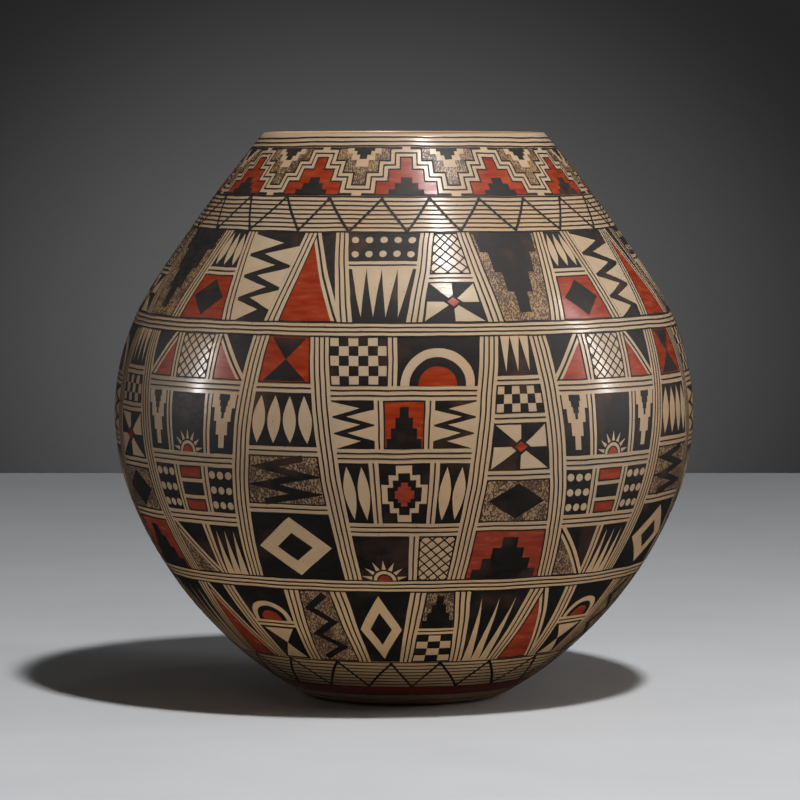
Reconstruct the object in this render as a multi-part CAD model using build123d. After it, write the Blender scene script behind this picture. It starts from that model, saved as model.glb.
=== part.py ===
"""A coil-built pueblo pottery jar: a base pat, rings of clay laid one on another with slanting
joints, a rounded rim coil, and a burnished slip coat over the outside and just inside the mouth.

Lengths are in millimetres and angles in degrees. +Z is up, and the origin is at the middle of
the ring that the jar stands on. Each piece is drawn as a flat cross-section, X being the
distance from the axis and Y the height, and is then turned about the axis.
"""

from build123d import *
import os

# The finished outside
jar_height = 234.0
belly_radius = 120.0
belly_height = 117.7  # height of the widest circle
belly_curve = 97.4  # radius of the belly's round, seen from the side
belly_turn_up = 33.0  # how far the belly's round turns above the widest circle
belly_turn_down = 23.0  # and below it
lip_radius = 56.4  # middle of the wall at the lip

# The foot
stand_radius = 34.0  # outer edge of the flat ring that touches the table
foot_curve = 24.0  # radius of the round between the stand and the lower wall
kick_radius = 26.0  # the shallow hollow pressed into the underside
kick_depth = 1.2

# The clay
wall = 6.0
base_thickness = 8.5
floor_radius = 32.0  # flat part of the floor inside
floor_curve = 22.0  # radius of the round between the floor and the lower wall inside

# The coils
coil_count = 12
pat_rise = 33.0  # how far up the outside the base pat reaches, along the clay
rim_coil_rise = 18.0  # how much of the outside the rim coil makes, along the clay
joint_lap = 5.0  # how much lower a joint lies on the inside than on the outside

# The slip coat
slip = 0.4
slip_foot_height = 3.0  # the foot below this is bare
slip_inside_depth = 12.0  # how far down inside the mouth it was carried

overrun = 8.0  # how far cutting outlines run past the clay

belly_centre = Vector(belly_radius - belly_curve, belly_height)
lip_centre = Vector(lip_radius, jar_height - wall / 2)
foot_centre = Vector(stand_radius, foot_curve)
floor_centre = Vector(floor_radius, base_thickness + floor_curve)


def towards(angle):
    """Unit vector at an angle from straight out."""
    return Vector(1, 0).rotate(Axis.Z, angle)


def run_on(start, outward, round_centre, round_radius):
    """The circle that carries a curve on smoothly from a start point to a smaller round, which
    it holds inside it, or outside it where round_radius is negative. Gives the circle's centre
    and the point where the two touch."""
    span = start - round_centre
    radius = (span.dot(span) - round_radius**2) / (2 * (span.dot(outward) - round_radius))
    centre = start - outward * radius
    return centre, centre + (round_centre - centre) * (radius / (radius - round_radius))


def arc_about(centre, start, end):
    """The shorter arc about a centre from one point to another."""
    middle = ((start - centre) + (end - centre)).normalized() * (start - centre).length
    return ThreePointArc(start, centre + middle, end)


def wall_face(depth, low_centre, low_round):
    """One face of the wall, at a depth below the finished outside: the round at its foot, the
    lower wall, the belly and the neck, each running smoothly into the next. low_centre and
    low_round place the first. Gives the edges in order, upwards."""
    down, up = towards(-belly_turn_down), towards(belly_turn_up)
    low_belly = belly_centre + down * (belly_curve - depth)
    high_belly = belly_centre + up * (belly_curve - depth)
    lower_centre, foot_end = run_on(low_belly, down, low_centre, low_round)
    neck_centre, lip_start = run_on(high_belly, up, lip_centre, wall / 2 - depth)
    return [
        arc_about(low_centre, low_centre - Vector(0, low_round), foot_end),
        arc_about(lower_centre, foot_end, low_belly),
        arc_about(belly_centre, low_belly, high_belly),
        arc_about(neck_centre, high_belly, lip_start),
    ]


def jar_section(skin=0):
    """The wall, floor and lip in cross-section, with every face moved in by the skin."""
    outside = wall_face(skin, foot_centre, foot_curve - skin)
    inside = wall_face(wall - skin, floor_centre, floor_curve + skin)
    lip_top = lip_centre + (outside[-1] % 1) * (wall / 2 - skin)
    lip = ThreePointArc(outside[-1] @ 1, lip_top, inside[-1] @ 1)
    kick = SagittaArc((kick_radius, skin), (-kick_radius, skin), -kick_depth)
    underside = [
        ThreePointArc(kick @ 0.5, kick @ 0.25, (kick_radius, skin)),
        Line((kick_radius, skin), (stand_radius, skin)),
    ]
    floor = [
        Line(inside[0] @ 0, (0, base_thickness - skin)),
        Line((0, base_thickness - skin), kick @ 0.5),
    ]
    return make_face([*underside, *outside, lip, *inside, *floor])


def beyond(height, side):
    """A face over everything above a height, where side is Align.MIN, or below, Align.MAX."""
    width = 2 * (belly_radius + overrun)
    return Pos(0, height) * Rectangle(width, jar_height, align=(Align.CENTER, side))


def slip_section():
    """The thin coat on the outside of the clay, over the lip and a little way down inside."""
    # The hollow of the jar, taken out to the middle of the wall, clears the bare clay inside.
    middle = wall_face(wall / 2, foot_centre, foot_curve - wall / 2)
    bottom, top = middle[0] @ 0, middle[-1] @ 1
    hollow = make_face([*middle, Polyline(top, (0, top.Y), (0, bottom.Y), bottom)])
    bare_inside = hollow - beyond(jar_height - slip_inside_depth, Align.MIN)
    bare_foot = beyond(slip_foot_height, Align.MAX)
    return jar_section() - jar_section(slip) - bare_inside - bare_foot


def joint_line(outside, distance):
    """The slanting joint at a distance along the outside, run past both faces of the wall."""
    share = distance / outside.length
    point, along = outside @ share, outside % share
    slant = (along.rotate(Axis.Z, 90) * wall - along * joint_lap).normalized()
    return point - slant * overrun, point + slant * (wall + overrun)


def below_joint(joint):
    """A face that covers the section from the bottom up to a joint."""
    outer, inner = joint
    far = belly_radius + 2 * overrun
    return make_face(
        Polyline(outer, inner, (0, inner.Y), (0, -overrun), (far, -overrun), (far, outer.Y), outer)
    )


def turned(section):
    """A flat section stood upright and turned once about the jar's axis."""
    return revolve(Plane.XZ * section, axis=Axis.Z)


def build_pieces():
    """Every piece by name, each one solid."""
    coat = slip_section()
    outside = Wire(wall_face(0, foot_centre, foot_curve))
    coil_rise = (outside.length - pat_rise - rim_coil_rise) / coil_count
    print("length up the outside", round(outside.length, 1), "rise of a coil", round(coil_rise, 1))

    pieces = {}
    rest = jar_section() - coat
    names = ["base_pat", *(f"wall_coil_{i + 1:02d}" for i in range(coil_count))]
    for i, name in enumerate(names):
        below = below_joint(joint_line(outside, pat_rise + coil_rise * i))
        pieces[name] = turned(rest & below)
        rest = rest - below
    pieces["rim_coil"] = turned(rest)
    pieces["slip_coat"] = turned(coat)
    return pieces


os.makedirs("parts", exist_ok=True)
for name, piece in build_pieces().items():
    print(name, len(piece.solids()), "solid,", round(piece.volume), "cubic mm")
    export_step(piece, f"parts/{name}.step")
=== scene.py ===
# %% [markdown]
# # A painted pueblo pottery jar
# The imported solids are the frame: base pat, coils, rim and the thin slip coat over them. This file
# dresses them as the fired jar looks. Everything is in metres and stands where the frame stands.

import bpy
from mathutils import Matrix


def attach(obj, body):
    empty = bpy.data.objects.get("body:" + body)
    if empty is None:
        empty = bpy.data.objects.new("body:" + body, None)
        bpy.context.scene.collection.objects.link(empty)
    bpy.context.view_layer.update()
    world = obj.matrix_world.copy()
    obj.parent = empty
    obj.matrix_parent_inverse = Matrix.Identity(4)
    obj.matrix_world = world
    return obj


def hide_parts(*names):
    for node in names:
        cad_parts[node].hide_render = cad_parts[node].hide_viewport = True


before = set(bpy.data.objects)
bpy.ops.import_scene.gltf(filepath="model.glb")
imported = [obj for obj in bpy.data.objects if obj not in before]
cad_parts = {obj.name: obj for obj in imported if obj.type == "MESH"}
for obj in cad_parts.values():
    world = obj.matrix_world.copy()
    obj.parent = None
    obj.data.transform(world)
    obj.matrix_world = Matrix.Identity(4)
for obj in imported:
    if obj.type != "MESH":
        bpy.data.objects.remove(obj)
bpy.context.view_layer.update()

# %% [markdown]
# ## The outline
# A jar like this is scraped and sanded until its outside is one smooth curve from the foot to the
# lip. It could be read off the frame's mesh, but a formula gives exact points and exact facing
# everywhere, which the paint needs. So the outline is written again as the solids have it: arcs
# that run smoothly into each other, in millimetres, with X out from the axis and Y up.

# %% The arcs of the outline
from math import cos, sin, pi, radians
from mathutils import Vector

mm = 0.001
jar_height = 234
wall = 6
belly_radius = 120
belly_centre = Vector((22.6, 117.7))
foot_centre, foot_round = Vector((34, 24)), 24
lip_centre, lip_round = Vector((56.4, jar_height - wall / 2)), wall / 2
turn_down, turn_up = radians(-23), radians(33)


def towards(angle):
    """Unit vector at an angle from straight out."""
    return Vector((cos(angle), sin(angle)))


def carrying(start, angle, round_centre, round_radius):
    """Centre, radius and end angle of the arc that leaves a point square to an angle and runs
    into a smaller round."""
    span = start - round_centre
    way = towards(angle)
    radius = (span.length_squared - round_radius**2) / (2 * (span.dot(way) - round_radius))
    centre = start - way * radius
    return centre, radius, Vector((1, 0)).angle_signed(round_centre - centre) * -1


belly_round = belly_radius - belly_centre.x
low_belly = belly_centre + towards(turn_down) * belly_round
high_belly = belly_centre + towards(turn_up) * belly_round
lower_centre, lower_round, foot_angle = carrying(low_belly, turn_down, foot_centre, foot_round)
neck_centre, neck_round, lip_angle = carrying(high_belly, turn_up, lip_centre, lip_round)
arcs = [  # centre, radius, first angle, last angle, +1 for an arc seen from outside
    (foot_centre, foot_round, -pi / 2, foot_angle, 1),
    (lower_centre, lower_round, foot_angle, turn_down, 1),
    (belly_centre, belly_round, turn_down, turn_up, 1),
    (neck_centre, neck_round, turn_up, lip_angle, 1),
    (lip_centre, lip_round, lip_angle, lip_angle + pi, 1),
    (neck_centre, neck_round - wall, lip_angle, turn_up, -1),
]


def outline(distance):
    """The point at a distance along the outline from the stand, and the way it faces there."""
    for centre, radius, first, last, side in arcs:
        length = abs(radius * (last - first))
        if distance <= length or side < 0:
            way = towards(first + (last - first) * distance / length)
            return centre + way * radius, way * side
        distance -= length


rise = sum(radius * (last - first) for _, radius, first, last, _ in arcs[:4])
print("up the outside", round(rise, 1), "mm, foot arc ends at", round(foot_angle, 3))

# %% [markdown]
# ## The burnished ground
# The whole outside wears a coat of fine clay slip, rubbed with a smooth stone before the firing.
# It goes over the lip and a little way down inside. A cross-section spun about the axis is the
# plain way to make it: the section is closed, so the coat is a closed shell with no open edge. It
# lies a fifth of a millimetre inside the solid's face, which leaves room for the paint on it.

# %% The slip coat, spun
import bpy
import bmesh

ground_depth = 0.19  # how far the coat's face lies inside the solid's
coat = 0.14
bare_foot = 12.2  # along the outline from the stand
carried_in = 14  # down inside the mouth, along the clay
coat_from, coat_to = bare_foot, rise + pi * lip_round + carried_in
profile_step = 2.5
round_steps = 256


def finished(name, bm):
    """A bmesh as an object that rides on the jar."""
    mesh = bpy.data.meshes.new(name)
    bm.to_mesh(mesh)
    bm.free()
    piece = bpy.data.objects.new(name, mesh)
    bpy.context.scene.collection.objects.link(piece)
    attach(piece, "root")
    return piece


def section_point(bm, distance, depth):
    place, facing = outline(distance)
    place = place - facing * depth
    return bm.verts.new((place.x * mm, 0, place.y * mm))


bm = bmesh.new()
count = round((coat_to - coat_from) / profile_step)
stops = [coat_from + (coat_to - coat_from) * i / count for i in range(count + 1)]
section = [section_point(bm, stop, ground_depth) for stop in stops]
section += [section_point(bm, stop, ground_depth + coat) for stop in reversed(stops)]
loop = [bm.edges.new(pair) for pair in zip(section, section[1:] + section[:1])]
bmesh.ops.spin(bm, geom=section + loop, cent=(0, 0, 0), axis=(0, 0, 1), dvec=(0, 0, 0),
               angle=2 * pi, steps=round_steps, use_merge=True, use_duplicate=False)
bmesh.ops.recalc_face_normals(bm, faces=bm.faces)
for face in bm.faces:
    face.smooth = True
ground = finished("burnished_ground", bm)
ground.data.set_sharp_from_angle(angle=radians(40))
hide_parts("slip_coat")
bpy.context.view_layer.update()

# %% [markdown]
# ## The pattern sheet
# The decoration is drawn flat first, as a maker might plan it on paper. X runs round the belly and
# Y runs up the outside, in millimetres. Each paint has its own sheet, so a shape's edge is a real
# edge and stays crisp from any distance, which a drawn texture wouldn't. The design repeats four
# times round the jar, as such designs commonly do, so only a quarter is drawn.

# %% Sheets of paint
around = 2 * pi * belly_radius
quarter = around / 4
paints = {  # depth of each film's face under the solid's face
    "black_fields": 0.15,
    "red_fields": 0.115,
    "stippled_fields": 0.115,
    "slip_figures": 0.08,
    "black_figures": 0.045,
    "pinstripes": 0.045,
    "red_cores": 0.01,
}
sheets = {paint: bmesh.new() for paint in paints}
line = 0.6  # width of a painted line


def squeeze(height):
    """True width of one sheet millimetre at a height on the sheet."""
    return outline(height)[0].x / belly_radius


def lay(paint, corners):
    """One flat shape on a paint's sheet."""
    bm = sheets[paint]
    return bm.faces.new([bm.verts.new((x, y, 0)) for x, y in corners])


def rim(corners, width=line):
    """A black line just inside a shape's edge, drawn at true width."""
    bm = sheets["pinstripes"]
    true = squeeze(sum(y for _, y in corners) / len(corners))
    face = lay("pinstripes", [(x * true, y) for x, y in corners])
    face.normal_update()
    ring = bmesh.ops.inset_region(bm, faces=[face], thickness=width, use_even_offset=True,
                                  use_boundary=True)["faces"]
    bmesh.ops.delete(bm, geom=[face], context="FACES_ONLY")
    for vert in {vert for face in ring for vert in face.verts}:
        vert.co.x /= true


def stroke(points, width=line, paint="pinstripes", closed=False):
    """A line of even true width along points, with its corners mitred."""
    bm = sheets[paint]
    true = squeeze(sum(y for _, y in points) / len(points))
    path = [Vector((x * true, y)) for x, y in points]
    if closed:
        turn = Vector((around * true, 0))
        path = [path[-1] - turn] + path + [path[0] + turn]
    sides = []
    for i, point in enumerate(path):
        before = (point - path[i - 1]).normalized() if i else None
        after = (path[i + 1] - point).normalized() if i + 1 < len(path) else None
        along = ((before or after) + (after or before)).normalized()
        reach = width / 2 / along.dot(before or after)
        off = Vector((-along.y, along.x)) * reach
        sides.append([bm.verts.new((p.x / true, p.y, 0)) for p in (point + off, point - off)])
    if closed:
        for vert in sides.pop(0):
            bm.verts.remove(vert)
    for (a, b), (c, d) in zip(sides, sides[1:]):
        bm.faces.new((a, b, d, c))


# %% [markdown]
# ## Panels
# The surface between the bands is divided into panels by ribbons of fine parallel lines, and each
# panel holds one figure. A panel has four corners on the sheet, and a place in it is given by two
# shares, across and up, so that one figure fits any panel, straight or leaning.

# %% A panel
strip = 1.5  # slip between two lines of a ribbon
BLACK, RED, STIPPLE = "black_fields", "red_fields", "stippled_fields"
SLIP, INK, CORE = "slip_figures", "black_figures", "red_cores"
EDGED = (None, RED, STIPPLE)  # a fine black line is painted round these
WHOLE = ((0, 0), (1, 0), (1, 1), (0, 1))


class Panel:
    def __init__(self, *corners, like=None):
        """Corners in order: low left, low right, high right, high left. A panel like another
        takes its true width and height."""
        self.corners = [Vector(corner) for corner in corners]
        self.wide, self.tall = (like.wide, like.tall) if like else (
            (self.at(1, 0.5) - self.at(0, 0.5)).x * squeeze(self.at(0.5, 0.5).y),
            self.at(0.5, 1).y - self.at(0.5, 0).y)

    def at(self, u, w):
        a, b, c, d = self.corners
        return a.lerp(b, u).lerp(d.lerp(c, u), w)

    def part(self, u0, u1, w0, w1):
        return Panel(self.at(u0, w0), self.at(u1, w0), self.at(u1, w1), self.at(u0, w1))

    def upended(self):
        a, b, c, d = self.corners
        return Panel(d, c, b, a, like=self)

    def mirrored(self):
        a, b, c, d = self.corners
        return Panel(b, a, d, c, like=self)

    def fill(self, paint, points=WHOLE):
        """A shape given in shares of the panel, with a black line round it where that is usual."""
        corners = [self.at(u, w) for u, w in points]
        if paint:
            lay(paint, corners)
        if paint in EDGED:
            rim(corners)

    def draw(self, points, width=line, paint="pinstripes"):
        stroke([self.at(u, w) for u, w in points], width, paint)

    def off(self, u, w, way):
        """The place that lies a true distance, in millimetres, from a place in shares."""
        return u + way.x / self.wide, w + way.y / self.tall

    def disc(self, paint, u, w, radius, sweep=1, corners=24):
        """A round spot, or the part of one from straight right round to a share of a turn."""
        turns = [2 * pi * sweep * i / corners for i in range(corners + (sweep < 1))]
        self.fill(paint, [self.off(u, w, towards(turn) * radius) for turn in turns])


# %% Ribbons between panels


def gap_of(strips):
    return strips * strip + (strips - 1) * line


def shared_out(length, shares, strips):
    """Start and end of each part, and the lines between the parts, in shares of the length."""
    gap, pitch = gap_of(strips) / length, (strip + line) / length
    room = 1 - gap * (len(shares) - 1)
    spans, lines, start = [], [], 0
    for share in shares:
        end = start + room * share / sum(shares)
        spans.append((start, end))
        lines += [end + gap / 2 + (i - (strips - 2) / 2) * pitch for i in range(strips - 1)]
        start = end + gap
    return spans, [stop for stop in lines if stop < 1]


def across(panel, shares, strips=2):
    """Panels side by side, with a ribbon between each two."""
    spans, lines = shared_out(panel.wide, shares, strips)
    for u in lines:
        panel.draw([(u, 0), (u, 1)])
    return [panel.part(u0, u1, 0, 1) for u0, u1 in spans]


def stacked(panel, shares, strips=3):
    """Panels from the bottom up, with a ribbon between each two."""
    spans, lines = shared_out(panel.tall, shares, strips)
    for w in lines:
        panel.draw([(0, w), (1, w)])
    return [panel.part(0, 1, w0, w1) for w0, w1 in spans]


# %% [markdown]
# ## Figures
# The figures are old common ones: stepped hills, teeth, checks, netting, lightning, sunrise and
# rainbow, nested diamonds, whirls, pods. Each is a few polygons in shares of its panel, so it
# stretches and leans with the panel as a painted figure does.

# %% Stepped figures


def hill_points(size, steps):
    """The outline of a stepped hill that stands in the middle of the floor."""
    side = []
    for i in range(steps):
        side += [(0.5 * size * i / steps, size * (1 - i / steps)),
                 (0.5 * size * (i + 1) / steps, size * (1 - i / steps))]
    side = side[1:] + [(0.5 * size, 0)]
    return [(0.5 - u, w) for u, w in reversed(side)] + [(0.5 + u, w) for u, w in side]


def hill(panel, ground, *sizes, steps=4):
    """Stepped hills one inside another, the biggest first."""
    panel.fill(ground)
    for paint, size in sizes:
        panel.fill(paint, hill_points(size, steps))


def stepped_diamond(panel, ground, *sizes, steps=3):
    """Diamonds with stepped sides one inside another."""
    panel.fill(ground)
    for paint, size in sizes:
        top = [(u, 0.5 + w / 2) for u, w in hill_points(size, steps)[1:-1]]
        panel.fill(paint, top + [(1 - u, 1 - w) for u, w in top])


# %% Teeth and checks


def teeth(panel, ground, paint, count=4, height=0.9):
    """A row of long triangles side by side."""
    panel.fill(ground)
    for i in range(count):
        left, right = 0.05 + 0.9 * i / count, 0.05 + 0.9 * (i + 1) / count
        panel.fill(paint, [(left, 0), (right, 0), ((left + right) / 2, height)])


def interlocked(panel, ground, paint, count=4):
    """Teeth from both sides that reach between each other."""
    panel.fill(ground)
    for i in range(count):
        low, high = i / count, (i + 1) / count
        panel.fill(paint, [(0, low), (0, high - 0.03), (0.66, (low + high) / 2)])
        if i < count - 1:
            panel.fill(paint, [(1, low + 0.5 / count), (1, high + 0.5 / count - 0.03), (0.34, high)])


def checks(panel, columns, rows):
    panel.fill(None)
    for i in range(columns):
        for j in range((i + 1) % 2, rows, 2):
            panel.part(i / columns, (i + 1) / columns, j / rows, (j + 1) / rows).fill(BLACK)


def hourglass(panel, ground, low, high):
    """Two triangles, point to point."""
    panel.fill(ground)
    panel.fill(low, [(0.1, 0.05), (0.9, 0.05), (0.5, 0.5)])
    panel.fill(high, [(0.1, 0.95), (0.5, 0.5), (0.9, 0.95)])


# %% Netting and lightning


def netting(panel, pitch=4.4, width=0.55):
    """Fine lines that cross each other on a slant."""
    panel.fill(None)
    run, step = panel.tall / panel.wide, pitch / panel.wide
    for i in range(round((1 + run) / step)):
        start = (i + 0.5) * step - run
        ends = [(start + run * w, w) for w in (max(0, -start / run), min(1, (1 - start) / run))]
        panel.draw(ends, width)
        panel.draw([(u, 1 - w) for u, w in ends], width)


def lightning(panel, ground, paint, turns=5, width=2.8):
    """A bent stroke from bottom to top."""
    panel.fill(ground)
    points = [(0.22 + 0.56 * (i % 2), 0.05 + 0.9 * i / turns) for i in range(turns + 1)]
    panel.draw(points, width, paint)


# %% Diamonds, halves, whirls and bars


def diamonds(panel, ground, *sizes, count=1):
    """Nested diamonds, or a chain of them up the panel."""
    panel.fill(ground)
    for i in range(count):
        for paint, size in sizes:
            half, middle = size / 2, (i + 0.5) / count
            panel.fill(paint, [(0.5 - half, middle), (0.5, middle - half / count),
                               (0.5 + half, middle), (0.5, middle + half / count)])


def halves(panel, low, high, strips=2):
    """A panel cut corner to corner, with a ribbon along the cut."""
    panel.fill(low, [(0, 0), (1, 0), (0, 1)])
    panel.fill(high, [(1, 1), (0, 1), (1, 0)])
    panel.draw([(0, 1), (1, 0)], gap_of(strips), SLIP)
    panel.draw([(0, 1), (1, 0)])


def whirl(panel, ground, paint, core):
    """Four triangles that turn about the middle."""
    panel.fill(ground)
    blade = [(0, 0), (0.46, 0), (0.46, 0.46)]
    for _ in range(4):
        panel.fill(paint, [(0.5 + u, 0.5 + w) for u, w in blade])
        blade = [(-w, u) for u, w in blade]
    for paint, size in ((INK, 0.17), (core, 0.11)):
        panel.fill(paint, [(0.5 - size, 0.5), (0.5, 0.5 - size), (0.5 + size, 0.5), (0.5, 0.5 + size)])


def bars(panel, *paints):
    """Level bars with slip between them."""
    for (low, high), paint in zip(shared_out(panel.tall, [1] * len(paints), 1)[0], paints):
        panel.part(0, 1, low, high).fill(paint)


# %% Round figures


def sunrise(panel, ground, disc, core, rays=7):
    """Half a sun on the panel's floor, with its rays."""
    panel.fill(ground)
    radius = min(panel.wide * 0.24, panel.tall * 0.44)
    for i in range(rays):
        angle = pi * (i + 0.5) / rays
        way, side = towards(angle) * radius, towards(angle + pi / 2) * radius * 0.18
        panel.fill(disc, [panel.off(0.5, 0, reach)
                          for reach in (way * 1.16 - side, way * 1.16 + side, way * 2)])
    for paint, size in ((disc, 1), (INK, 0.72), (core, 0.58)):
        panel.disc(paint, 0.5, 0, radius * size, 0.5)


def rainbow(panel, ground, *paints):
    """Half rounds one inside another on the panel's floor."""
    panel.fill(ground)
    radius = min(panel.wide * 0.46, panel.tall * 0.88)
    for i, paint in enumerate(paints):
        panel.disc(paint, 0.5, 0, radius * (1 - 0.24 * i), 0.5)


def pods(panel, ground, paint, count=3):
    """Pointed ovals standing side by side."""
    panel.fill(ground)
    for i in range(count):
        middle, half = (i + 0.5) / count, 0.42 / count
        side = [(sin(pi * t / 10) * half, 0.06 + 0.88 * t / 10) for t in range(11)]
        panel.fill(paint, [(middle + u, w) for u, w in side]
                   + [(middle - u, w) for u, w in reversed(side[1:-1])])


def spots(panel, ground, paint, columns, rows, radius):
    panel.fill(ground)
    for i in range(columns):
        for j in range(rows):
            panel.disc(paint, (i + 0.5) / columns, (j + 0.5) / rows, radius, corners=14)


# %% [markdown]
# ## One quarter of the design
# Three tiers of leaning panels stand between the banded borders, under a frieze at the neck. Each
# panel is divided into rows and the rows into cells, so that a figure is fifteen to thirty
# millimetres across, about what a narrow brush of chewed yucca leaf can outline and fill in a few
# loads of paint.

# %% Panels, rows and cells
field_low, field_high = 44.0, 240.1
tier_low, tier_high = (85.0, 90.7), (193.0, 198.7)


def tier(low, high, edges, lean, strips=4):
    """Panels between two heights whose sides lean by turns one way and the other."""
    true = squeeze((low + high) / 2)
    half = gap_of(strips) / 2 / true
    panels = []
    for i, (left, right) in enumerate(zip(edges, edges[1:])):
        tilt = lean * (-1) ** i
        panels.append(Panel((left + tilt + half, low), (right - tilt - half, low),
                            (right + tilt - half, high), (left - tilt + half, high)))
        for k in range(strips - 1):
            x = left + (k - (strips - 2) / 2) * (strip + line) / true
            stroke([(x + tilt, low), (x - tilt, high)])
    return panels


def furnish(panel, rows, strips=3):
    """Fills a panel with rows from the bottom up, given as a height and the cells from left to
    right, each of them a width, a figure and its details."""
    for band, (_, *cells) in zip(stacked(panel, [row[0] for row in rows], strips), rows):
        for cell, (_, figure, *details) in zip(across(band, [c[0] for c in cells]), cells):
            figure(cell, *details)


def hanging(figure):
    """The figure upside down."""
    return lambda panel, *details: figure(panel.upended(), *details)


def turned(figure):
    """The figure as seen in a mirror."""
    return lambda panel, *details: figure(panel.mirrored(), *details)


# %% The belly
one, two, three, four = tier(tier_low[1], tier_high[0], [0, 60, 94, 150, quarter], 6)
furnish(one, [
    (21, (1.5, sunrise, BLACK, SLIP, CORE), (1, netting)),
    (25, (1, pods, BLACK, SLIP, 2),
     (1.7, stepped_diamond, BLACK, (SLIP, 0.94), (INK, 0.7), (CORE, 0.4)),
     (1, pods, BLACK, SLIP, 2)),
    (19, (1, interlocked, BLACK, SLIP, 3), (1, hill, RED, (INK, 0.86)),
     (1, turned(interlocked), BLACK, SLIP, 3)),
    (20, (1, checks, 6, 5), (1.4, rainbow, BLACK, SLIP, INK, CORE)),
])
furnish(two, [
    (24, (1, hill, RED, (INK, 0.86), (SLIP, 0.42))),
    (19, (1, diamonds, STIPPLE, (INK, 0.84), (SLIP, 0.36))),
    (20, (1, whirl, BLACK, SLIP, CORE)),
    (12, (1, checks, 6, 3)),
    (17, (1, hanging(teeth), BLACK, SLIP, 3)),
], 2)
furnish(three, [
    (23, (1.2, halves, STIPPLE, BLACK), (1, teeth, BLACK, SLIP, 3)),
    (19, (1, spots, BLACK, SLIP, 3, 3, 1.6), (1, bars, RED, BLACK, RED),
     (1, spots, BLACK, SLIP, 3, 3, 1.6)),
    (24, (1, hanging(hill), BLACK, (SLIP, 0.9), (INK, 0.4)), (1.5, sunrise, BLACK, SLIP, CORE),
     (1, hanging(hill), BLACK, (SLIP, 0.9), (INK, 0.4))),
    (19, (1, turned(halves), RED, BLACK), (1.2, netting), (1, halves, RED, BLACK)),
])
furnish(four, [
    (31, (1, diamonds, BLACK, (SLIP, 0.88), (INK, 0.42))),
    (21, (1, lightning, STIPPLE, INK)),
    (22, (1, pods, BLACK, SLIP, 4)),
    (20, (1, hourglass, RED, INK, INK)),
], 2)

# %% The shoulder and the lower wall
panels = tier(tier_high[1], field_high, [0, 38, 66, 104, 132, 163, quarter], 4, 3)
for panel, *rows in zip(panels, [
    (24, (1, hanging(teeth), BLACK, SLIP, 4)), (17, (1, whirl, BLACK, SLIP, CORE)),
    (37, (1, hanging(hill), STIPPLE, (INK, 0.9), (SLIP, 0.4))),
    (20, (1, diamonds, RED, (INK, 0.8), (SLIP, 0.34))), (37, (1, interlocked, BLACK, SLIP, 4)),
    (37, (1, halves, RED, BLACK)),
], [
    (13, (1, spots, BLACK, SLIP, 5, 2, 1.5)), (18, (1, netting)), None, (17, (1, pods, BLACK, SLIP, 3)),
    None, None,
]):
    furnish(panel, [row for row in rows if row], 2)

panels = tier(field_low, tier_low[0], [0, 34, 62, 96, 124, 158, quarter], 3, 3)
for panel, *rows in zip(panels, [
    (40, (1, diamonds, BLACK, (SLIP, 0.9), (INK, 0.46))), (18, (1, checks, 3, 4)),
    (40, (1, teeth, BLACK, SLIP, 3)), (40, (1, halves, RED, BLACK)),
    (20, (1, hourglass, BLACK, SLIP, SLIP)), (40, (1, lightning, STIPPLE, INK)),
], [
    None, (20, (1, hill, STIPPLE, (INK, 0.9))), None, None,
    (18, (1, rainbow, BLACK, SLIP, INK, CORE)), None,
]):
    furnish(panel, [row for row in rows if row], 2)

# %% The frieze at the neck
frieze_low, frieze_high = 257.3, 280.2
units = 3
hill_steps = 4
border = 1.8  # slip between the stepped line and the fields on either side


def set_back(panel, points, distance):
    """The outline of a hill moved in by a true distance on its sides and its steps."""
    inwards, down = distance / panel.wide, distance / panel.tall
    return [(u + inwards if u < 0.5 else u - inwards, max(w - down, 0)) for u, w in points]


# Both rows of hills have treads at the same places, half a step apart in height.
steps = [(u, max(w - 0.5 / hill_steps, 0)) for u, w in hill_points(1, hill_steps)]
for i in range(units):
    left, right = quarter * i / units, quarter * (i + 1) / units
    half = (right - left) / 2
    unit = Panel((left, frieze_low), (right, frieze_low), (right, frieze_high), (left, frieze_high))
    between = Panel((left - half, frieze_high), (left + half, frieze_high),
                    (left + half, frieze_low), (left - half, frieze_low), like=unit)
    unit.draw(steps[1:-1])
    unit.fill(RED, set_back(unit, steps, border))
    unit.fill(INK, hill_points(0.36, 3))
    between.fill(STIPPLE, set_back(between, steps, border))
    between.fill(SLIP, hill_points(0.42, 3))
    between.fill(INK, hill_points(0.26, 3))
print("faces on the sheets", {paint: len(bm.faces) for paint, bm in sheets.items()})

# %% [markdown]
# ## Bending the sheets round the jar
# A flat shape has to follow a surface that curves both ways, so every sheet is first cut into
# small cells by planes, then each point goes to its place on the outline. The hand shows here:
# wobbles of three lengths move every point a little, the same for all paints, and the rings near
# the mouth run a little higher on one side than on the other, as rings drawn by eye do. Each film
# then gets a thickness, so that it is a closed body.

# %% Cutting the sheets into cells
cell = 3.5


def cut_into_cells(bm, low, high, left, right):
    for axis, start, end in ((1, low, high), (0, left, right)):
        way = Vector((axis == 0, axis == 1, 0))
        for i in range(1, round((end - start) / cell)):
            bmesh.ops.bisect_plane(bm, geom=bm.verts[:] + bm.edges[:] + bm.faces[:],
                                   plane_co=way * (start + i * cell), plane_no=way, dist=1e-4)


# %% From the sheet to the jar
from bl_math import smoothstep
from mathutils import noise

front = 30  # the place on the sheet that comes to the front of the jar
noise.seed_set(5)  # left alone, the noise is seeded by the time, and each run would differ
strays = ((60, 0.55), (12, 0.28), (3, 0.11))  # length of a wobble and how far it goes
shoulder, neck, mouth = 140, 237, 285
shoulder_sag, mouth_lift = 0.8, 2


def wobble(place):
    """How far the hand strays at a place, across and up, in millimetres."""
    return sum((noise.noise_vector(place / length) * reach for length, reach in strays), Vector())


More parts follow.
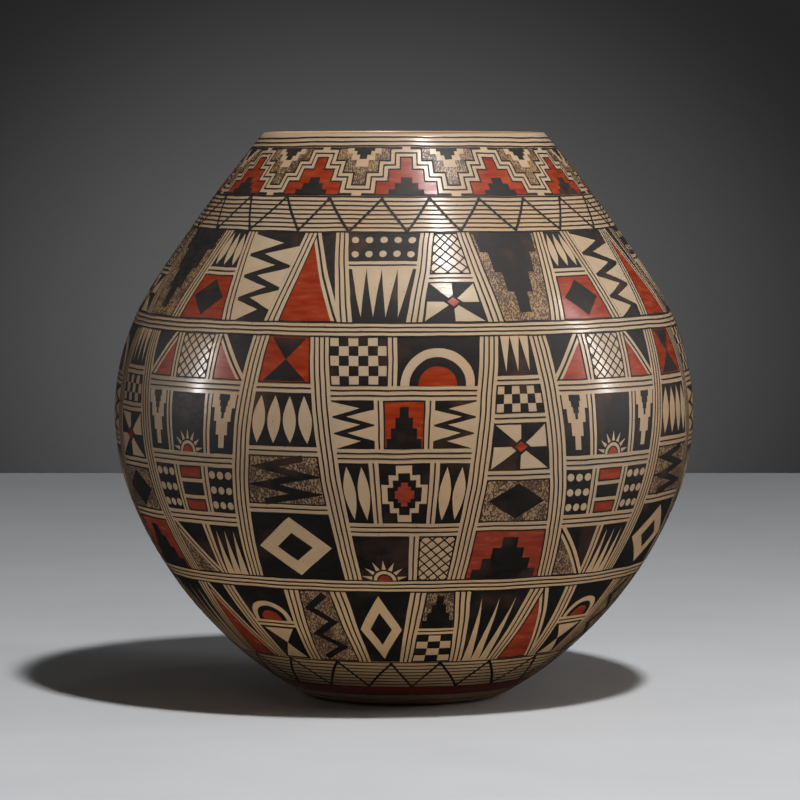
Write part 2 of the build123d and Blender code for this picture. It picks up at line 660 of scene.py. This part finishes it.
def on_jar(x, y, depth):
    """Where a place on the sheet comes on the jar, in metres, and the way it faces."""
    angle = (x - front) / belly_radius
    place, _ = outline(y)
    stray = wobble(Vector((place.x * sin(angle), -place.x * cos(angle), place.y)))
    angle += stray.x / place.x
    # Rings drawn by eye hang low in front at the neck's foot, and stand high in front at the mouth.
    sag = shoulder_sag * smoothstep(shoulder, neck, y) - mouth_lift * smoothstep(neck, mouth, y)
    place, facing = outline(y + stray.y - sag * cos(angle))
    place = place - facing * depth
    spread = Vector((sin(angle), -cos(angle)))
    return (Vector((*(spread * place.x), place.y)) * mm,
            Vector((*(spread * facing.x), facing.y)))


# %% Bending and thickening
film = 0.03
merged = 1e-6  # points nearer than this, in metres, become one
facing_out = 0.5  # cosine over which a face counts as a side of the film and not as its edge


def bent(name, bm, depth, repeats=True):
    """A cut sheet bent round the jar as a thin closed film with exact facing. A quarter of the
    pattern repeats; a ring goes round once and its ends are merged."""
    bm.normal_update()
    bmesh.ops.reverse_faces(bm, faces=[face for face in bm.faces if face.normal.z < 0])
    for shift in ((quarter, 2 * quarter) if repeats else ()):
        copy = bmesh.ops.duplicate(bm, geom=bm.verts[:] + bm.edges[:] + bm.faces[:])["geom"]
        bmesh.ops.translate(bm, verts=[v for v in copy if isinstance(v, bmesh.types.BMVert)],
                            vec=(shift, 0, 0))
    uv = bm.loops.layers.uv.new("pattern_sheet")
    facing = bm.verts.layers.float_vector.new("facing")
    for face in bm.faces:
        for corner in face.loops:
            corner[uv].uv = corner.vert.co.x / around, corner.vert.co.y / around
        face.smooth = True
    for vert in bm.verts:
        vert.co, vert[facing] = on_jar(vert.co.x, vert.co.y, depth)
    if not repeats:
        bmesh.ops.remove_doubles(bm, verts=bm.verts[:], dist=merged)
    bm.normal_update()
    bmesh.ops.solidify(bm, geom=bm.faces[:], thickness=film * mm)
    piece = finished(name, bm)
    mesh = piece.data
    ways = mesh.attributes["facing"].data
    normals = []
    for polygon in mesh.polygons:
        for index in polygon.vertices:
            way = ways[index].vector
            side = polygon.normal.dot(way)
            normals.append(way if side > facing_out else -way if side < -facing_out else polygon.normal)
    mesh.normals_split_custom_set(normals)
    mesh.attributes.remove(mesh.attributes["facing"])
    return piece


# %% The bent sheets
pieces = {}
sheet_top = 287
lap = 40  # how far figures may lean past a quarter's sides
for paint, depth in paints.items():
    bm = sheets[paint]
    bm.normal_update()
    area = sum(face.calc_area() for face in bm.faces)
    cut_into_cells(bm, field_low, sheet_top, -lap, quarter + lap)
    pieces[paint] = bent(paint, bm, depth)
    print(paint, "area", round(area), "faces", len(pieces[paint].data.polygons))

# %% [markdown]
# ## Rings
# The borders are rings: three lines under the lip, two bands of fine lines with a zigzag over
# them, lines above and below each tier, and a red band at the foot. A ring is a long strip of a
# grid, bent round until its ends meet, and merged there.

# %% Lines and bands all the way round
rings = {}
ring_depths = {"ring_lines": 0.045, "red_foot_band": 0.115}
ring_cells = 252
upper_band, lower_band = (240.5, 256.7), (24.2, 43.4)
band_lines, tier_lines = 9, 4
lip_lines = (280.9, 283.1, 285.4)
red_band_low = 16.6
bold_line = 0.7


def ring(paint, low, high, rows=1):
    """A strip all round the jar between two heights on the sheet."""
    bm = rings.setdefault(paint, bmesh.new())
    made = bmesh.ops.create_grid(bm, x_segments=ring_cells, y_segments=rows, size=0.5)["verts"]
    bmesh.ops.scale(bm, verts=made, vec=(around, high - low, 1))
    bmesh.ops.translate(bm, verts=made, vec=(around / 2, (low + high) / 2, 0))


def line_ring(height, width=line):
    ring("ring_lines", height - width / 2, height + width / 2)


for height in lip_lines:
    line_ring(height, bold_line)
for low, high in (upper_band, lower_band):
    for i in range(band_lines):
        outer = i in (0, band_lines - 1)
        line_ring(low + (high - low) * i / (band_lines - 1), bold_line if outer else line)
for low, high in (tier_low, tier_high):
    for i in range(tier_lines):
        line_ring(low + (high - low) * i / (tier_lines - 1))
ring("red_foot_band", red_band_low, lower_band[0], rows=3)

# %% The zigzags over the bands
import random

draw = random.Random(7)
miss = 0.4  # how far the hand misses a corner up or down
miss_share = 0.12  # and across, as a share of a stroke
zigzag_line, zigzag_depth = 1.05, 0.01
below, above, past = 20, 260, 20  # the cutting planes reach from outside the zigzags

bm = sheets["zigzags"] = bmesh.new()
for (low, high), count in ((upper_band, 24), (lower_band, 20)):
    points = []
    for i in range(2 * count):
        x = around * (i + draw.uniform(-miss_share, miss_share)) / (2 * count)
        points.append((x, (low + miss, high - miss)[i % 2] + draw.uniform(-miss, miss)))
    stroke(points, zigzag_line, "zigzags", closed=True)
bm.normal_update()
cut_into_cells(bm, below, above, -past, around + past)
pieces["zigzags"] = bent("zigzags", bm, zigzag_depth, repeats=False)

# %% The bent rings
for paint, bm in rings.items():
    bm.normal_update()
    pieces[paint] = bent(paint, bm, ring_depths[paint], repeats=False)
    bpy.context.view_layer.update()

# %% [markdown]
# ## Materials
# Slip, red and black are earths and plant black, rubbed or brushed on and fired together, so each
# one is a clay surface that differs in grain and gloss. Noise and cell textures make them rather
# than pictures: they have no seams and can be worked out from real sizes. Patterns are placed by
# the jar's own coordinates in metres, and only the stippling follows the pattern sheet.

# %% Colours and nodes


def colour(code):
    """A hex colour as Blender's linear values."""
    parts = [int(code[i:i + 2], 16) / 255 for i in (1, 3, 5)]
    return [c / 12.92 if c <= 0.04045 else ((c + 0.055) / 1.055) ** 2.4 for c in parts] + [1]


def add(tree, kind, inputs=None, **settings):
    """One node with its settings, and with its inputs set or linked."""
    made = tree.nodes.new(kind)
    for key, value in settings.items():
        setattr(made, key, value)
    for key, value in (inputs or {}).items():
        if isinstance(value, bpy.types.Node):
            value = value.outputs[0]
        if isinstance(value, bpy.types.NodeSocket):
            tree.links.new(value, made.inputs[key])
        else:
            made.inputs[key].default_value = colour(value) if isinstance(value, str) else value
    return made


def drift(tree, place, size, low, high, stretch=(1, 1, 1)):
    """Values that drift between two levels over a size in millimetres."""
    where = add(tree, "ShaderNodeMapping", {"Vector": place, "Scale": stretch})
    cloud = add(tree, "ShaderNodeTexNoise", {"Vector": where, "Scale": 1 / (size * mm), "Detail": 3})
    return add(tree, "ShaderNodeMapRange", {"Value": cloud, "From Min": 0.33, "From Max": 0.67,
                                            "To Min": low, "To Max": high})


def flecks(tree, place, pitch, radius, rarity):
    """1 on small round flecks that lie about a pitch apart, with only some of the places used."""
    spread = add(tree, "ShaderNodeTexVoronoi", {"Vector": place, "Scale": 1 / (pitch * mm)})
    spot = add(tree, "ShaderNodeMapRange", {"Value": spread.outputs["Distance"],
               "From Min": radius / pitch, "From Max": radius / pitch * 0.5})
    chosen = add(tree, "ShaderNodeMath", {0: spread.outputs["Color"], 1: rarity},
                 operation="GREATER_THAN")
    return add(tree, "ShaderNodeMath", {0: spot, 1: chosen}, operation="MULTIPLY")


def new_material(name):
    """A material with its tree, its shader and the jar's own coordinates in metres."""
    material = bpy.data.materials.new(name)
    material.use_nodes = True
    tree = material.node_tree
    place = add(tree, "ShaderNodeTexCoord").outputs["Object"]
    return material, tree, tree.nodes["Principled BSDF"], place


def connect(tree, shader, **inputs):
    for key, value in inputs.items():
        socket = shader.inputs[key.replace("_", " ")]
        if isinstance(value, (int, float)):
            socket.default_value = value
        else:
            tree.links.new(value.outputs[0], socket)


# %% [markdown]
# ## Stone-burnished slip
# The buff slip is rubbed with a smooth pebble while it is leather-hard, which leaves it as smooth
# as an eggshell, with faint level strokes. Roughness alone gives one kind of shine, and the real
# one has two: a broad soft sheen from the clay, and over it a sharper one where the stone closed
# the surface. So a coat lies over a duller base, and the strokes change both.

# %% Stone-burnished slip
slip, tree, shader, place = new_material("stone_burnished_clay_slip")
# The clay is palest at the shoulder. Painted shade greys it round the belly, and painted light makes it
# lighter and warmer near the foot, where the table throws light up. A wide blush lies where more iron
# lies in the clay.
height = add(tree, "ShaderNodeSeparateXYZ", {"Vector": place}).outputs["Z"]
middle = add(tree, "ShaderNodeMapRange", {"Value": height, "From Min": 172 * mm, "From Max": 125 * mm})
low = add(tree, "ShaderNodeMapRange", {"Value": height, "From Min": 100 * mm, "From Max": 50 * mm})
base = add(tree, "ShaderNodeMixRGB", {"Fac": middle, "Color1": "#ccb394", "Color2": "#c2a686"})
base = add(tree, "ShaderNodeMixRGB", {"Fac": drift(tree, place, 60, -0.1, 0.75),
                                      "Color1": base, "Color2": "#c79e73"})
# Painted light: the clay turns lighter and warmer towards the foot.
base = add(tree, "ShaderNodeMixRGB", {"Fac": low, "Color1": base, "Color2": "#d8ae7b"})
# Painted shade: the clay is darkened over the last few centimetres above the foot, where the contact
# shadow on the table lies.
painted_foot_shade = add(tree, "ShaderNodeMapRange", {"Value": height, "From Min": 34 * mm, "From Max": 6 * mm,
                                         "To Max": 0.8})
base = add(tree, "ShaderNodeMixRGB", {"Fac": painted_foot_shade, "Color1": base, "Color2": "#6e583e"})
base = add(tree, "ShaderNodeMixRGB", {"Fac": drift(tree, place, 8, 0, 0.3),
                                      "Color1": base, "Color2": "#ae9475"})
# Grains of ground sherd and iron show through as specks of half a millimetre to a millimetre.
base = add(tree, "ShaderNodeMixRGB", {"Fac": flecks(tree, place, 2.2, 0.28, 0.72),
                                      "Color1": base, "Color2": "#7c5836"})
base = add(tree, "ShaderNodeMixRGB", {"Fac": flecks(tree, place, 9, 0.5, 0.6),
                                      "Color1": base, "Color2": "#8a4a26"})
# Strokes of the polishing stone: about 2.5 mm wide and ten times as long, level round the jar.
strokes = drift(tree, place, 22, 0, 1, (1, 1, 9))
shine = add(tree, "ShaderNodeMapRange", {"Value": strokes, "To Min": 0.44, "To Max": 0.56})
polish = add(tree, "ShaderNodeMapRange", {"Value": strokes, "To Min": 0.16, "To Max": 0.24})
relief = add(tree, "ShaderNodeBump", {"Height": strokes, "Strength": 1.0, "Distance": 0.018 * mm})
# Within a stroke the stone leaves finer marks, under a millimetre wide.
marks = drift(tree, place, 6, 0, 1, (1, 1, 8))
relief = add(tree, "ShaderNodeBump", {"Height": marks, "Strength": 1.0, "Distance": 0.008 * mm,
                                      "Normal": relief})
connect(tree, shader, Base_Color=base, Roughness=shine, Specular_IOR_Level=0.3, Normal=relief,
        Coat_Weight=0.6, Coat_Roughness=polish, Coat_Normal=relief)

# %% [markdown]
# ## Red and black
# The red is an iron-rich slip, painted on and polished with the rest, so it shines like the
# ground. The black is a boiled plant juice with iron ore, painted on last and never rubbed, so it
# stays matt and soaks the highlights up. Both go on with a chewed yucca leaf, which lays them
# thick and thin. The stretched noise stands for its strokes, and wide noise for a fresh load.

# %% Red slip paint
red, tree, shader, place = new_material("polished_red_ochre_slip")
# The red is brushed on thicker and thinner, so brush strokes run through it, and it is polished.
brush = drift(tree, place, 9, 0, 1, (1, 1, 5))
base = add(tree, "ShaderNodeMixRGB", {"Fac": brush, "Color1": "#912602", "Color2": "#ac4014"})
base = add(tree, "ShaderNodeMixRGB", {"Fac": drift(tree, place, 28, 0, 0.45),
                                      "Color1": base, "Color2": "#7c2204"})
base = add(tree, "ShaderNodeMixRGB", {"Fac": flecks(tree, place, 3, 0.3, 0.75),
                                      "Color1": base, "Color2": "#4a1a10"})
height = add(tree, "ShaderNodeSeparateXYZ", {"Vector": place}).outputs["Z"]
# Painted shade: the red is darkened over the last few centimetres above the foot, where the contact
# shadow lies.
painted_foot_shade = add(tree, "ShaderNodeMapRange", {"Value": height, "From Min": 30 * mm, "From Max": 6 * mm,
                                         "To Max": 0.7})
base = add(tree, "ShaderNodeMixRGB", {"Fac": painted_foot_shade, "Color1": base, "Color2": "#461404"})
shine = add(tree, "ShaderNodeMapRange", {"Value": brush, "To Min": 0.42, "To Max": 0.54})
polish = add(tree, "ShaderNodeMapRange", {"Value": brush, "To Min": 0.18, "To Max": 0.28})
relief = add(tree, "ShaderNodeBump", {"Height": brush, "Strength": 1.0, "Distance": 0.012 * mm})
connect(tree, shader, Base_Color=base, Roughness=shine, Specular_IOR_Level=0.25, Normal=relief,
        Coat_Weight=0.4, Coat_Roughness=polish, Coat_Normal=relief)

# %% Black paint
black, tree, shader, place = new_material("brushed_black_plant_paint")
# Where the paint is thin it burns out to brown in the firing.
brush = drift(tree, place, 6, 0, 1, (1, 1, 4))
base = add(tree, "ShaderNodeMixRGB", {"Fac": brush, "Color1": "#1b1512", "Color2": "#241d19"})
thin = add(tree, "ShaderNodeMapRange", {"Value": drift(tree, place, 16, 0, 1), "From Min": 0.62,
                                        "To Max": 0.85})
base = add(tree, "ShaderNodeMixRGB", {"Fac": thin, "Color1": base, "Color2": "#44291a"})
base = add(tree, "ShaderNodeMixRGB", {"Fac": flecks(tree, place, 5, 0.22, 0.8),
                                      "Color1": base, "Color2": "#7c6146"})
shine = add(tree, "ShaderNodeMapRange", {"Value": brush, "To Min": 0.52, "To Max": 0.62})
relief = add(tree, "ShaderNodeBump", {"Height": brush, "Strength": 1.0, "Distance": 0.01 * mm})
connect(tree, shader, Base_Color=base, Roughness=shine, Normal=relief, Specular_IOR_Level=0.3)

# %% [markdown]
# ## Stippling
# Some fields are dabbed with the frayed end of a brush, so that brown dots stand close on the
# slip. Thousands of modelled dots would cost a great many faces, and they have no height to speak
# of. A cell texture on the pattern sheet's own map gives them rows that follow the design.

# %% Stippling
stipple, tree, shader, place = new_material("stippled_brown_paint")
# Dabs of a frayed brush, under half a millimetre wide and a little taller, in rows along the pattern.
# The brush runs dry and is loaded again, so the dabs part in some places and run together in others.
sheet = add(tree, "ShaderNodeUVMap", uv_map="pattern_sheet")
rows = add(tree, "ShaderNodeMapping", {"Vector": sheet, "Scale": (around / 0.62, around / 0.95, 1)})
dabs = add(tree, "ShaderNodeTexVoronoi", {"Vector": rows, "Scale": 1.0, "Randomness": 0.8})
load = drift(tree, place, 7, 0.5, 0.74)
edge = add(tree, "ShaderNodeMath", {0: load, 1: dabs.outputs["Distance"]}, operation="SUBTRACT")
cover = add(tree, "ShaderNodeMapRange", {"Value": edge, "From Min": -0.06, "From Max": 0.1})
base = add(tree, "ShaderNodeMixRGB", {"Fac": dabs.outputs["Color"], "Color1": "#352216",
                                      "Color2": "#684329"})
base = add(tree, "ShaderNodeMixRGB", {"Fac": cover, "Color1": "#ab8962", "Color2": base})
shine = add(tree, "ShaderNodeMapRange", {"Value": cover, "To Min": 0.3, "To Max": 0.5})
relief = add(tree, "ShaderNodeBump", {"Height": cover, "Strength": 1.0, "Distance": 0.01 * mm})
connect(tree, shader, Base_Color=base, Roughness=shine, Normal=relief)

# %% [markdown]
# ## Bare clay
# Inside and under the foot the clay has no slip. It is open, dull and a little sandy, warmer than
# the ground, and shows how it was scraped. All the coils get the one clay, because the joints
# between them were worked over until they vanished.

# %% Bare fired clay
clay, tree, shader, place = new_material("scraped_fired_clay")
# Inside, the wet wall was drawn smooth with a piece of gourd, which leaves level ridges about
# 4 mm apart, and it is left dull. Under the foot the clay is scuffed and dusty from standing.
ridges = drift(tree, place, 40, 0, 1, (1, 1, 10))
base = add(tree, "ShaderNodeMixRGB", {"Fac": ridges, "Color1": "#a9835b", "Color2": "#94704c"})
base = add(tree, "ShaderNodeMixRGB", {"Fac": drift(tree, place, 35, 0, 0.6),
                                      "Color1": base, "Color2": "#b0764a"})
base = add(tree, "ShaderNodeMixRGB", {"Fac": flecks(tree, place, 2.5, 0.4, 0.6),
                                      "Color1": base, "Color2": "#6f5239"})
height = add(tree, "ShaderNodeSeparateXYZ", {"Vector": place}).outputs["Z"]
worn = add(tree, "ShaderNodeMapRange", {"Value": height, "From Min": 1.5 * mm, "From Max": 0.2 * mm,
                                        "To Max": 0.6})
base = add(tree, "ShaderNodeMixRGB", {"Fac": worn, "Color1": base, "Color2": "#6d5a48"})
relief = add(tree, "ShaderNodeBump", {"Height": ridges, "Strength": 1.0, "Distance": 0.12 * mm})
relief = add(tree, "ShaderNodeBump", {"Height": drift(tree, place, 0.8, 0, 1), "Strength": 1.0,
                                      "Distance": 0.04 * mm, "Normal": relief})
connect(tree, shader, Base_Color=base, Normal=relief, Roughness=0.85, Specular_IOR_Level=0.3)

# %% Materials on the pieces
ground.data.materials.append(slip)
for name, piece in pieces.items():
    kind = {"red_fields": red, "red_foot_band": red, "stippled_fields": stipple,
            "red_cores": red, "slip_figures": slip}.get(name, black)
    piece.data.materials.append(kind)
for name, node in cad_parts.items():
    if name != "slip_coat":
        for slot in node.material_slots:
            slot.material = clay
print("finishes", {name: piece.active_material.name for name, piece in pieces.items()})

# %% [markdown]
# ## Floor, light and camera
# A pale painted table ends a little behind the jar, before a dim wall that is brighter in the
# middle. One compact lamp stands high in front, a little to the right, and gives the hard-edged
# shadow. A narrow strip lights the right side, and a panel on the table stands for its bright part
# in front of the picture. The shine on the burnished slip comes from lamps that light nothing else,
# each where the surface mirrors it to the camera: so a highlight can have its own length and
# strength, and the shadow stays as it is.

# %% Floor
table_edge = 1.108  # from the jar's axis
bm = bmesh.new()
bmesh.ops.create_grid(bm, x_segments=1, y_segments=1, size=table_edge)
mesh = bpy.data.meshes.new("floor")
bm.to_mesh(mesh)
bm.free()
floor = bpy.data.objects.new("floor", mesh)
bpy.context.scene.collection.objects.link(floor)
table, tree, shader, place = new_material("matt_painted_board")
# Roller paint: a fine skin of bumps 1 mm across, and very slight unevenness of tone.
base = add(tree, "ShaderNodeMixRGB", {"Fac": drift(tree, place, 90, 0, 1),
                                      "Color1": "#e4e6e9", "Color2": "#dfe1e4"})
relief = add(tree, "ShaderNodeBump", {"Height": drift(tree, place, 1, 0, 1), "Strength": 1.0,
                                      "Distance": 0.02 * mm})
connect(tree, shader, Base_Color=base, Normal=relief, Roughness=0.6, Specular_IOR_Level=0.25)
floor.data.materials.append(table)
# A floor seen in the jar's gloss veils its lower half, which is clear and dark on the real one.
floor.visible_glossy = False

# %% Lights
jar_middle = (0, 0, 0.15)


def soft_light(name, place, size, power, aim=jar_middle):
    """A flat lamp at a place, with its width and height in metres and its power in watts."""
    light = bpy.data.lights.new(name, "AREA")
    light.shape = "RECTANGLE"
    light.size, light.size_y = size
    light.energy = power
    lamp = bpy.data.objects.new(name, light)
    bpy.context.scene.collection.objects.link(lamp)
    lamp.location = place
    lamp.rotation_euler = (Vector(aim) - Vector(place)).to_track_quat("-Z", "Y").to_euler()
    return lamp


key = soft_light("key", (0.315, -0.665, 1.37), (0.09, 0.11), 16.4)
key.visible_glossy = False
for name, place, size, power in (("key_gloss", (0.36, -0.63, 1.55), (0.08, 0.15), 4.2),
                                 ("long_gloss", (0.30, -0.44, 1.6), (0.09, 0.5), 10),
                                 ("lip_gloss", (0.2, 0.13, 1.55), (0.1, 0.08), 10),
                                 ("left_gloss", (-0.95, -0.08, 0.34), (0.04, 0.36), 3.2),
                                 ("right_gloss", (0.95, -0.11, 0.45), (0.025, 0.9), 6)):
    soft_light(name, place, size, power).visible_diffuse = False
bounce = soft_light("table_bounce", (0, -0.42, 0.002), (0.9, 0.42), 0.33, aim=(0, -0.42, 1))
bounce.visible_camera = bounce.visible_glossy = False
soft_light("right_strip", (0.95, -0.11, 0.45), (0.05, 0.6), 1.25)

# %% The dim wall
# A wide soft patch of light lies on the wall behind the jar, and the room is a little brighter
# overhead than at eye level.
patch_way = (-0.0065, 0.9975, -0.0702)
patch_edge = 0.9917  # cosine of the angle from its middle to its edge
world = bpy.data.worlds.new("dark_studio")
bpy.context.scene.world = world
world.use_nodes = True
tree = world.node_tree
way = add(tree, "ShaderNodeTexCoord").outputs["Generated"]
way = add(tree, "ShaderNodeMapping", {"Vector": way, "Scale": (1, 1, 1.3)})
way = add(tree, "ShaderNodeVectorMath", {0: way}, operation="NORMALIZE")
toward = add(tree, "ShaderNodeVectorMath", {0: way, 1: patch_way},
             operation="DOT_PRODUCT").outputs["Value"]
patch = add(tree, "ShaderNodeMapRange", {"Value": toward, "From Min": patch_edge, "From Max": 1})
patch = add(tree, "ShaderNodeMath", {0: patch, 1: 2.0}, operation="POWER")
ceiling = add(tree, "ShaderNodeSeparateXYZ", {"Vector": way}).outputs["Z"]
ceiling = add(tree, "ShaderNodeMapRange", {"Value": ceiling, "To Min": 0.017, "To Max": 0.035})
glow = add(tree, "ShaderNodeMath", {0: patch, 1: 0.1, 2: ceiling}, operation="MULTIPLY_ADD")
tree.links.new(glow.outputs[0], tree.nodes["Background"].inputs["Color"])

# %% Camera
picture_width, focal_length = 800, 4584  # both in pixels of the picture
eye = (-0.0017, -1.9, 0.25)
tilt_down = 3.838  # degrees
camera = bpy.data.objects.new("camera", bpy.data.cameras.new("camera"))
bpy.context.scene.collection.objects.link(camera)
camera.data.sensor_width = 36
camera.data.lens = focal_length / picture_width * camera.data.sensor_width
camera.location = eye
camera.rotation_euler = (radians(90 - tilt_down), 0, 0)
bpy.context.scene.camera = camera
bpy.context.scene.view_settings.view_transform = "Standard"
print("lens", round(camera.data.lens, 1), "mm, from", camera.location[:])
